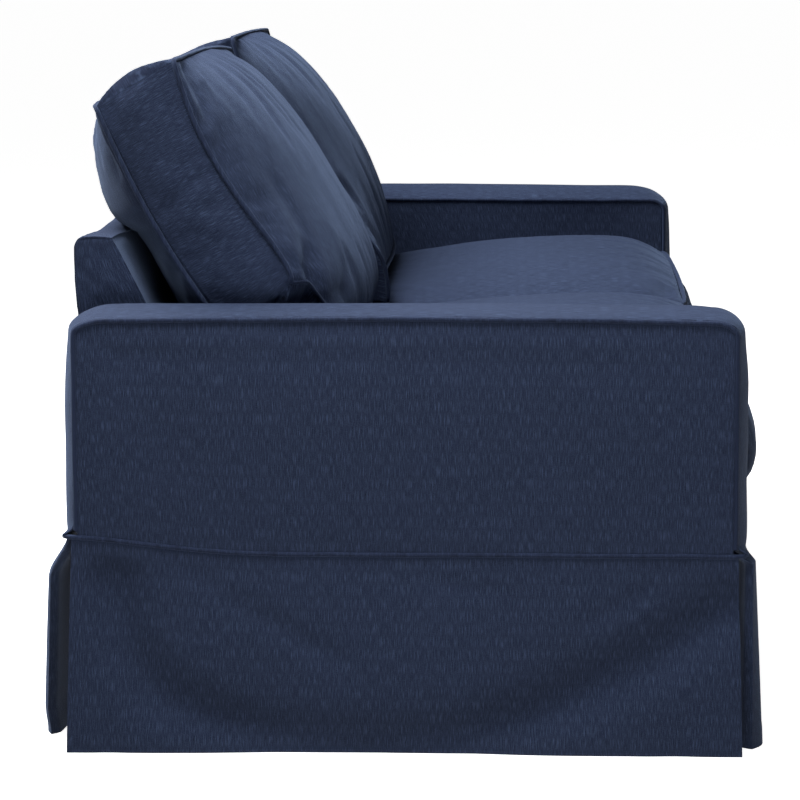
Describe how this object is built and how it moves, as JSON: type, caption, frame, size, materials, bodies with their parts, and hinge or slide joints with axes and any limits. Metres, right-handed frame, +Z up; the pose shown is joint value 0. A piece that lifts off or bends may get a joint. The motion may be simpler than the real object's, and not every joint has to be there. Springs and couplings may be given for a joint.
{
  "type": "sofa slipcover",
  "caption": "Fitted slipcover for a box-arm sofa in navy slub cloth, with corded seams, a floor-length skirt slit at the corners, and filled seat and back cushions.",
  "frame": {"origin": "on the floor, under the middle of the cover's box", "axes": "+X along the length, to the right of someone who faces the cover's front; +Y to the rear; +Z up"},
  "size_m": [2.191, 1.0215, 0.961],
  "materials": {
    "cloth": "matt navy woven cloth with fine lengthwise slubs",
    "cord": "the same cloth over a 6 to 7 mm cord"
  },
  "bodies": {
    "root": {"outside_arm_left": "cloth", "arm_band_left": "cloth", "inside_arm_left": "cloth", "arm_welt_outer_left": "cord", "arm_welt_inner_left": "cord", "back_end_left": "cloth", "skirt_left": "cloth", "seat_cushion_left": "cloth", "seat_welt_top_left": "cord", "seat_welt_bottom_left": "cord", "back_cushion_left": "cloth", "back_welt_front_left": "cord", "back_welt_rear_left": "cord", "outside_arm_right": "cloth", "arm_band_right": "cloth", "inside_arm_right": "cloth", "arm_welt_outer_right": "cord", "arm_welt_inner_right": "cord", "back_end_right": "cloth", "skirt_right": "cloth", "seat_cushion_right": "cloth", "seat_welt_top_right": "cord", "seat_welt_bottom_right": "cord", "back_cushion_right": "cloth", "back_welt_front_right": "cord", "back_welt_rear_right": "cord", "outside_back": "cloth", "back_top": "cloth", "inside_back": "cloth", "seat_deck": "cloth", "front_border": "cloth", "skirt_front": "cloth", "skirt_back": "cloth", "waist_welt": "cord"}
  },
  "joints": []
}
